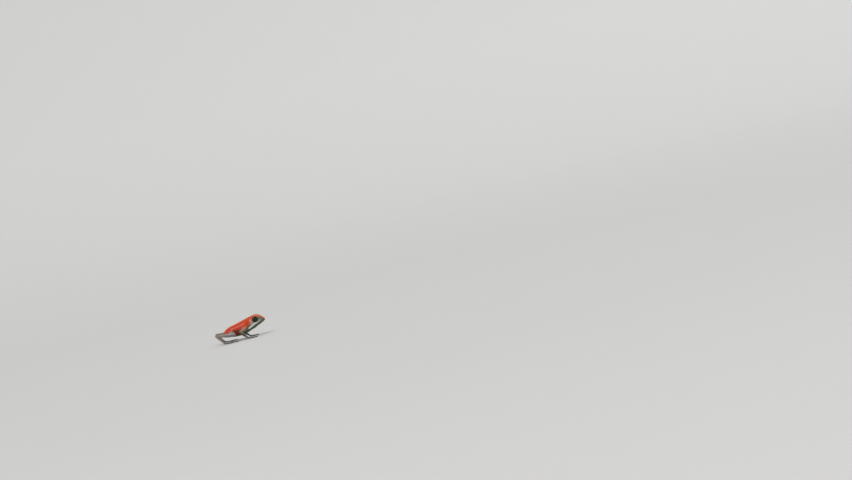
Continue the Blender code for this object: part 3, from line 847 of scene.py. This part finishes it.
def masks(points):
    """Where each of the skin's colours lies, from 0 to 1, worked out point by point."""
    one_side = folded(points)
    x, side, z = one_side.T
    legs = from_limbs(points, ("thigh", "shank", "tarsus"))
    arms = from_limbs(points, ("upper_arm", "forearm"))
    trunk = from_body(points)
    on_legs = ramp(trunk - legs, -0.15, 0.45)
    on_legs += (1 - on_legs) * ramp(z, 1.6, 1.2) * ramp(x, 7.2, 6.8)
    on_arms = ramp(trunk - arms, 0.0, 0.6) * ramp(legs - arms, -0.3, 0.3)
    wander = 0.16 * ripple(points, 1.7, 21) + 0.07 * ripple(points, 0.5, 22)

    # The red of the back, more orange along its top and towards the head.
    border = np.interp(x, *np.transpose(RED_EDGE))
    top = np.interp(x, SPINE[:, 0], SPINE[:, 1])
    over = z - border + wander * (1 - 0.5 * ramp(x, 14.0, 16.0))
    below_thigh = np.maximum(ramp(side, 3.6, 5.0), ramp(x, 0.6, -0.2))
    bare = np.maximum(on_legs * below_thigh, on_arms)
    warm = ramp(over, -0.22, 0.22) * (1 - bare)
    ridge = ramp((z - border) / np.maximum(top - border, 0.5), 0.35, 0.90)
    ridge = np.maximum(ridge, 0.7 * ramp(x, 10.5, 13.0))
    crown = ramp(x + 2.0 * wander, 12.6, 15.8)

    # The pale lip stripe, partly a painted sky reflection, with the cheek over it; painted shade on the
    # lower flank; and the salmon blush behind the eye, partly a painted highlight.
    middle = np.interp(x, *np.transpose(STRIPE_AND_REFLECTION_MIDDLE))
    # The lip's pale stripe, brightened as a painted reflection of the sky on the wet jaw.
    stripe_and_reflection = ramp(np.abs(z - middle + 0.5 * wander), 0.66, 0.30)
    stripe_and_reflection *= ramp(x + 2.0 * wander, 11.2, 12.9)
    stripe_and_reflection *= ramp(side, 1.2, 2.0) * (1 - 0.80 * ramp(x, 14.6, 18.8)) * (1 - on_arms)
    cheek = ramp(x, 12.5, 14.5) * ramp(x, 20.5, 18.5) * ramp(side, 1.2, 2.0) * (1 - on_arms)
    cheek *= ramp(z, middle - 0.4, middle) * (1 - 0.5 * ramp(x, 17.0, 19.5))
    # Painted shade on the lower flank, between the thigh and the arm.
    flank_shade = ramp(trunk, 0.5, 0.1) * ramp(over, 0.25, -0.10) * ramp(x, 3.0, 4.6)
    flank_shade *= ramp(x, 9.6, 8.2) * ramp(z, 2.0, 3.0) * (1 - np.maximum(on_legs, on_arms))
    # Salmon behind the eye and at the shoulder, partly a painted highlight.
    blush_and_highlight = from_line(one_side, *BLUSH_AND_HIGHLIGHT_BAND)[0] + 0.5 * wander
    blush_and_highlight = ramp(blush_and_highlight, 1.0, 0.2) + 0.5 * bump(one_side, *BLUSH_AND_HIGHLIGHT_PATCH)

    # Painted shade in the mouth's groove, the nostrils' pits and the ears, and under the canthus before
    # the eyes.
    mouth = 0.75 * at_mouth(points) * bell(from_mouth(points), 0.075)
    pit = bell(np.linalg.norm(one_side - NOSTRIL, axis=1), 0.17)
    ear = from_ear(points) + 0.06 * ripple(points, 0.4, 23)
    ear = 0.22 * bell(ear - EAR_RADIUS, 0.12) + 0.12 * ramp(ear, EAR_RADIUS, 0.25)
    lore = 0.45 * ramp(from_line(one_side, *LORE_BAND)[0], 0.85, 0.2)
    shade = np.maximum(np.maximum(mouth, pit), np.maximum(ear, lore * (1 - warm)))
    grain = (1 - 0.35 * crown) * (1 - 0.5 * on_arms) * ramp(z, 0.6, 2.2)
    return {
        "warm": warm,
        "ridge": ridge,
        "crown": crown,
        "stripe_and_reflection": stripe_and_reflection,
        "flank_shade": flank_shade,
        "gold": 0.8 * bump(one_side, *GOLD_PATCH) * warm,
        "blush_and_highlight": np.clip(blush_and_highlight, 0, 1),
        "cheek": cheek,
        "heels": ramp(x, 2.0, -1.0),
        "legs": on_legs,
        "arms": on_arms,
        "paws": ramp(z + 1.5 * wander, 2.1, 0.5),
        "shade": shade,
        "grain": grain * (1 - ramp(shade, 0.1, 0.5)),
        # Painted light on the limbs: 1 on their lit tops, less on their shaded undersides and low on the
        # arms.
        "top": ramp(over_axis(points), -0.1, 0.6) * (1 - 0.8 * on_arms * ramp(z, 4.0, 2.4)),
    }


def paint(mesh, name, values):
    """A mask, from 0 to 1, written onto a mesh's points for its material to read."""
    mask = mesh.attributes.new(name, "FLOAT", "POINT")
    mask.data.foreach_set("value", values.astype(np.float32))


for name, values in masks(points).items():
    paint(skin.data, name, values)
skin.data.vertices.foreach_set("co", ((points + FROG_PLACE) * MM).ravel())
skin.data.update()
skin.data.shade_smooth()


def add(tree, kind, inputs=(), **settings):
    """A shader node with its settings and its inputs, each a value or the socket that feeds it."""
    made = tree.nodes.new(kind)
    for name, value in settings.items():
        setattr(made, name, value)
    for name, value in dict(inputs).items():
        if isinstance(value, bpy.types.NodeSocket):
            tree.links.new(value, made.inputs[name])
        else:
            made.inputs[name].default_value = value
    return made


def mixed(tree, share, first, second, blend="MIX"):
    """A colour that goes from the first to the second as the share goes from 0 to 1."""
    inputs = {0: share, 6: first, 7: second}
    return add(tree, "ShaderNodeMix", inputs, data_type="RGBA", blend_type=blend).outputs[2]


def figured(tree, operation, first, second=0.0):
    """One number worked out of two."""
    return add(tree, "ShaderNodeMath", {0: first, 1: second}, operation=operation).outputs[0]


def spread(tree, value, low, high, least=0.0, most=1.0):
    """A value's range from low to high, stretched to run from least to most."""
    inputs = {"Value": value, "From Min": low, "From Max": high, "To Min": least, "To Max": most}
    return add(tree, "ShaderNodeMapRange", inputs).outputs["Result"]


def noise(tree, place, scale, detail=3.0, rough=0.55):
    """Cloudy noise from 0 to 1."""
    inputs = {"Vector": place, "Scale": scale, "Detail": detail, "Roughness": rough}
    return add(tree, "ShaderNodeTexNoise", inputs).outputs[0]


def plain_material(name):
    """A material with its tree, its Principled shader and its object coordinates."""
    material = bpy.data.materials.new(name)
    material.use_nodes = True
    tree = material.node_tree
    shader = tree.nodes["Principled BSDF"]
    return material, tree, shader, add(tree, "ShaderNodeTexCoord").outputs["Object"]


RED = (0.560, 0.016, 0.005, 1)
ORANGE = (0.650, 0.062, 0.002, 1)
CROWN = (0.600, 0.122, 0.004, 1)
GOLD = (0.690, 0.225, 0.010, 1)
# Salmon, partly a painted highlight.
BLUSH_AND_HIGHLIGHT = (0.600, 0.250, 0.180, 1)
CHEEK = (0.300, 0.340, 0.255, 1)
# The lip's pale stripe, partly a painted sky reflection.
STRIPE_AND_REFLECTION = (0.720, 0.780, 0.710, 1)
# The throat's and belly's grey-green, darkened as painted shade under the body.
GREY_GREEN = (0.078, 0.088, 0.051, 1)
# The arms: olive below in painted shade, beige on top under a painted highlight.
OLIVE = (0.088, 0.084, 0.047, 1)
BEIGE = (0.360, 0.285, 0.225, 1)
# The legs: lavender below, and sand on the heels and, as a painted highlight, on their tops.
LAVENDER = (0.235, 0.182, 0.202, 1)
SAND = (0.320, 0.264, 0.222, 1)
SLATE = (0.150, 0.164, 0.190, 1)
ASH = (0.235, 0.228, 0.222, 1)
# Painted shade for the lower flank.
FLANK_SHADE = (0.210, 0.032, 0.004, 1)
DARK = (0.020, 0.020, 0.018, 1)
GRANULE_HEIGHT = 0.035

material, tree, shader, place = plain_material("frog_skin")
read = {}
for name in masks(points[:1]):
    read[name] = add(tree, "ShaderNodeAttribute", attribute_name=name).outputs["Fac"]
cloud = noise(tree, place, 800.0)
mottle = spread(tree, noise(tree, place, 1500.0, 5.0, 0.75), 0.48, 0.68)
cells = {"Vector": place, "Scale": 4700.0, "Smoothness": 0.15, "Randomness": 0.95}
cells = add(tree, "ShaderNodeTexVoronoi", cells, feature="SMOOTH_F1").outputs["Distance"]
grains = spread(tree, cells, 0.12, 0.66, 1.0, 0.0)
grains = figured(tree, "MULTIPLY", grains, read["grain"])

# The limbs are painted paler on top, a painted highlight, and darker below, painted shade.
arm = mixed(tree, read["top"], OLIVE, BEIGE)
leg = mixed(tree, read["top"], LAVENDER, SAND)
leg = mixed(tree, spread(tree, read["heels"], 0.0, 1.0, 0.0, 0.6), leg, SAND)
grey = mixed(tree, read["cheek"], GREY_GREEN, CHEEK)
grey = mixed(tree, read["arms"], grey, arm)
grey = mixed(tree, read["legs"], grey, leg)
paw = mixed(tree, spread(tree, cloud, 0.4, 0.65), SLATE, ASH)
grey = mixed(tree, spread(tree, read["paws"], 0.0, 1.0, 0.0, 0.9), grey, paw)
grey = mixed(tree, spread(tree, mottle, 0.0, 1.0, 0.0, 0.30), grey, DARK)
red = mixed(tree, read["ridge"], RED, ORANGE)
red = mixed(tree, read["crown"], red, CROWN)
red = mixed(tree, read["gold"], red, GOLD)
red = mixed(tree, spread(tree, cloud, 0.35, 0.70, 0.0, 0.35), red, ORANGE)
colour = mixed(tree, read["warm"], grey, red)
# Painted shade on the lower flank.
colour = mixed(tree, read["flank_shade"], colour, FLANK_SHADE)
# Salmon behind the eye and at the shoulder, partly a painted highlight.
colour = mixed(tree, read["blush_and_highlight"], colour, BLUSH_AND_HIGHLIGHT)
# The lip's pale stripe, partly a painted sky reflection.
colour = mixed(tree, spread(tree, read["stripe_and_reflection"], 0.15, 0.85), colour, STRIPE_AND_REFLECTION)
shading = spread(tree, grains, 0.0, 0.8, 0.88, 1.04)
colour = mixed(tree, 1.0, colour, shading, "MULTIPLY")
# Painted shade in the mouth, nostrils and ears, and before the eyes.
colour = mixed(tree, read["shade"], colour, DARK)

# The lids' dark edge, partly their own dark rim and partly painted shade where they meet the eye:
# measured in the plane of each opening, on both sides alike.
centre, axes = eye_frame(1)
middle = (centre + FROG_PLACE * (1, 0, 1) - axes[1] * LID_OPENING_DROP) * MM
split = add(tree, "ShaderNodeSeparateXYZ", {"Vector": place}).outputs
left = figured(tree, "SUBTRACT", split["Y"], FROG_PLACE[1] * MM)
left = {"X": split["X"], "Y": figured(tree, "ABSOLUTE", left), "Z": split["Z"]}
left = {0: add(tree, "ShaderNodeCombineXYZ", left).outputs[0], 1: middle}
left = add(tree, "ShaderNodeVectorMath", left, operation="SUBTRACT").outputs[0]
spans = []
for axis, half in zip(axes, (*LID_OPENING, 1.0)):
    span = {0: left, 1: axis / half / MM}
    spans.append(add(tree, "ShaderNodeVectorMath", span, operation="DOT_PRODUCT").outputs["Value"])
oval = add(tree, "ShaderNodeCombineXYZ", {"X": spans[0], "Y": spans[1]}).outputs[0]
oval = add(tree, "ShaderNodeVectorMath", {0: oval}, operation="LENGTH").outputs["Value"]
edge = spread(tree, oval, 1.12, 1.04, 0.0, 0.85)
edge = figured(tree, "MULTIPLY", edge, spread(tree, spans[2], 0.2, 0.3))
colour = mixed(tree, edge, colour, DARK)
tree.links.new(colour, shader.inputs["Base Color"])

# Moisture, less of it on the crown, and the granules' height.
wet = spread(tree, noise(tree, place, 500.0), 0.35, 0.65, 0.30, 0.44)
wet = figured(tree, "ADD", wet, spread(tree, read["crown"], 0.0, 1.0, 0.0, 0.12))
tree.links.new(wet, shader.inputs["Roughness"])
coat = spread(tree, read["crown"], 0.0, 1.0, 0.30, 0.12)
tree.links.new(coat, shader.inputs["Coat Weight"])
fine = figured(tree, "MULTIPLY", noise(tree, place, 9000.0, 2.0), 0.5)
grained = {
    "Strength": 0.55,
    "Distance": GRANULE_HEIGHT * MM,
    "Height": figured(tree, "ADD", grains, fine),
}
grained = add(tree, "ShaderNodeBump", grained).outputs["Normal"]
tree.links.new(grained, shader.inputs["Normal"])
shader.inputs["Specular IOR Level"].default_value = 0.28
shader.inputs["Coat Roughness"].default_value = 0.14
shader.inputs["Coat IOR"].default_value = 1.40
shader.inputs["Subsurface Weight"].default_value = 0.08
shader.inputs["Subsurface Radius"].default_value = (1.0, 0.35, 0.2)
shader.inputs["Subsurface Scale"].default_value = 0.0005
skin.data.materials.append(material)
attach(skin, "root")
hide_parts(*FLESH_NODES)

# The eyes: glossy balls, near black, with a dark bronze iris that is only seen close up, and a black
# pupil drawn out lengthwise. Each sits in its lids as deep as a real one.

EYE_SIDES = 96
EYE_RINGS = 64
PUPIL = (0.86, 0.66)
IRIS = 1.34
EYE_BLACK = (0.0015, 0.002, 0.0025, 1)
IRIS_DARK = (0.003, 0.003, 0.003, 1)
IRIS_BRONZE = (0.034, 0.016, 0.006, 1)
PUPIL_RIM = (0.060, 0.032, 0.012, 1)

material, tree, shader, place = plain_material("frog_eye")
iris = add(tree, "ShaderNodeAttribute", attribute_name="iris").outputs["Fac"]
ring = add(tree, "ShaderNodeAttribute", attribute_name="ring").outputs["Fac"]
flecks = spread(tree, noise(tree, place, 5200.0, 4.0, 0.7), 0.48, 0.68)
colour = mixed(tree, iris, EYE_BLACK, mixed(tree, flecks, IRIS_DARK, IRIS_BRONZE))
colour = mixed(tree, ring, colour, PUPIL_RIM)
tree.links.new(colour, shader.inputs["Base Color"])
shader.inputs["Roughness"].default_value = 0.30
shader.inputs["Specular IOR Level"].default_value = 0.1
shader.inputs["Coat Weight"].default_value = 1.0
shader.inputs["Coat Roughness"].default_value = 0.02
shader.inputs["Coat IOR"].default_value = 1.36
for sign, side_name in ((1, "left"), (-1, "right")):
    centre, axes = eye_frame(sign)
    points, faces = egg(sign, [EYE_RADIUS] * 3, EYE_RINGS, EYE_SIDES)
    eye = placed(f"eyeball_{side_name}", (points + FROG_PLACE) * MM, faces)
    long, up, out = ((points - centre) @ axes.T).T
    pupil = np.hypot(long / PUPIL[0], up / PUPIL[1])
    within = ramp(np.hypot(long, up), IRIS + 0.05, IRIS - 0.08)
    for name, values in (
        ("iris", ramp(pupil, 0.94, 1.06) * within),
        ("ring", 0.5 * bell(pupil - 1.05, 0.05)),
    ):
        paint(eye.data, name, values * (out > 0))
    eye.data.shade_smooth()
    eye.data.materials.append(material)
    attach(eye, "root")
    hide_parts(f"eye_{side_name}")

# The studio: a wide floor of pale paper, level under the frog and curved up all round into a slope.
# A large soft lamp stands above and to the left of the camera, with weaker ones to the right and behind,
# and pale light comes from all round. The floor is in metres.

FLOOR_LEVEL_OUT_TO = 1.25
FLOOR_CURVE = 2.0
FLOOR_SLOPE = math.radians(48)
FLOOR_SLOPE_LENGTH = 1.6
FLOOR_SIDES = 96
FLOOR_RINGS = 24
# The paper's near and far tones: painted paler far out, where the lamps reach it less.
PAPER_NEAR = (0.660, 0.660, 0.652, 1)
PAPER_FAR = (0.810, 0.808, 0.802, 1)
SKY = (0.95, 0.97, 1.0, 1)
SKY_STRENGTH = 0.415
WALL = (0.62, 0.62, 0.613, 1)

level = np.linspace(0.05, FLOOR_LEVEL_OUT_TO, FLOOR_RINGS)[:-1]
bend = np.linspace(0, FLOOR_SLOPE, FLOOR_RINGS)
slope = np.linspace(0, FLOOR_SLOPE_LENGTH, FLOOR_RINGS // 2)[1:]
radius = np.concatenate([level, FLOOR_LEVEL_OUT_TO + FLOOR_CURVE * np.sin(bend)])
height = np.concatenate([0 * level, FLOOR_CURVE * (1 - np.cos(bend))])
radius = np.concatenate([radius, radius[-1] + slope * math.cos(FLOOR_SLOPE)])
height = np.concatenate([height, height[-1] + slope * math.sin(FLOOR_SLOPE)])
angle = np.linspace(0, 2 * math.pi, FLOOR_SIDES, endpoint=False)
grid = np.stack(
    [
        radius[:, None] * np.cos(angle),
        radius[:, None] * np.sin(angle),
        np.broadcast_to(height[:, None], (len(radius), FLOOR_SIDES)),
    ],
    -1,
)
here = np.arange(len(radius) * FLOOR_SIDES).reshape(len(radius), FLOOR_SIDES)
beside = np.roll(here, -1, axis=1)
faces = np.stack([here[:-1], here[1:], beside[1:], beside[:-1]], -1).reshape(-1, 4).tolist()
faces.append(here[0].tolist())
mesh = bpy.data.meshes.new("floor")
mesh.from_pydata(grid.reshape(-1, 3).tolist(), [], faces)
mesh.shade_smooth()
floor = bpy.data.objects.new("floor", mesh)
bpy.context.scene.collection.objects.link(floor)
material, tree, shader, place = plain_material("paper")
# The paper is painted paler far out, painted light that stands in for the lamps' light falling off
# there.
far = add(tree, "ShaderNodeVectorMath", {0: place}, operation="LENGTH").outputs["Value"]
tint = spread(tree, noise(tree, place, 60.0, 4.0), 0.3, 0.7, 0.0, 0.03)
tint = figured(tree, "ADD", tint, spread(tree, far, 0.3, 2.0, 0.0, 0.97))
tree.links.new(mixed(tree, tint, PAPER_NEAR, PAPER_FAR), shader.inputs["Base Color"])
shader.inputs["Roughness"].default_value = 0.85
mesh.materials.append(material)
floor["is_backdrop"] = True


def lamp(name, place, size, power, colour):
    """A round soft lamp that faces the frog."""
    light = bpy.data.lights.new(name, "AREA")
    light.shape = "DISK"
    light.size = size
    light.energy = power
    light.color = colour
    obj = bpy.data.objects.new(name, light)
    obj.location = place
    obj.rotation_euler = (-Vector(place)).to_track_quat("-Z", "Y").to_euler()
    bpy.context.scene.collection.objects.link(obj)


lamp("key", (-1.14, -1.98, 3.00), 0.90, 49.0, (1.0, 0.96, 0.91))
lamp("fill", (1.62, -1.26, 1.08), 1.26, 4.3, (0.93, 0.97, 1.0))
lamp("rim", (1.05, 1.50, 2.40), 1.20, 19.5, (1.0, 1.0, 0.98))
world = bpy.data.worlds.new("room")
world.use_nodes = True
tree = world.node_tree
sky = tree.nodes["Background"]
sky.inputs["Color"].default_value = SKY
sky.inputs["Strength"].default_value = SKY_STRENGTH
# Past the floor's edge the picture shows a wall in the paper's tone. Only the sky gives light.
wall = add(tree, "ShaderNodeBackground", {"Color": WALL}).outputs[0]
seen = add(tree, "ShaderNodeLightPath").outputs["Is Camera Ray"]
room = add(tree, "ShaderNodeMixShader", {0: seen, 1: sky.outputs[0], 2: wall}).outputs[0]
tree.links.new(room, tree.nodes["World Output"].inputs["Surface"])
bpy.context.scene.world = world
bpy.context.scene.view_settings.view_transform = "Standard"

# The camera: level with the frog's right side and a little above it, at the photograph's angle and
# framing. The frog is small and to the left, and the picture leans so that its back rises to the right.

DISTANCE = 1.2
MM_PER_PIXEL = 0.485
WIDE, HIGH = 852, 480
PIXEL = (239, 329)
AIM = (7.61, 0.0, 5.34)
ELEVATION = math.radians(4)
LEAN = math.radians(14)

aim = Vector((np.array(AIM) + FROG_PLACE) * MM)
toward = Vector((0, math.cos(ELEVATION), -math.sin(ELEVATION)))
focal = DISTANCE / MM / MM_PER_PIXEL
ray = Vector((PIXEL[0] - WIDE / 2, HIGH / 2 - PIXEL[1], -focal))
level = toward.to_track_quat("-Z", "Y")
camera = bpy.data.objects.new("camera", bpy.data.cameras.new("camera"))
bpy.context.scene.collection.objects.link(camera)
camera.data.sensor_width = 36
camera.data.lens = 36 * focal / WIDE
camera.data.clip_start = 0.01
camera.data.clip_end = 20
camera.location = aim - DISTANCE * toward
roll = Quaternion((0, 0, 1), -LEAN)
pan = ray.rotation_difference(Vector((0, 0, -1)))
camera.rotation_euler = (level @ roll @ pan).to_euler()
bpy.context.scene.camera = camera

boxes = {"cad": cad_box, "visual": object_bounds()}
{name: [list(corner) for corner in box] for name, box in boxes.items()}
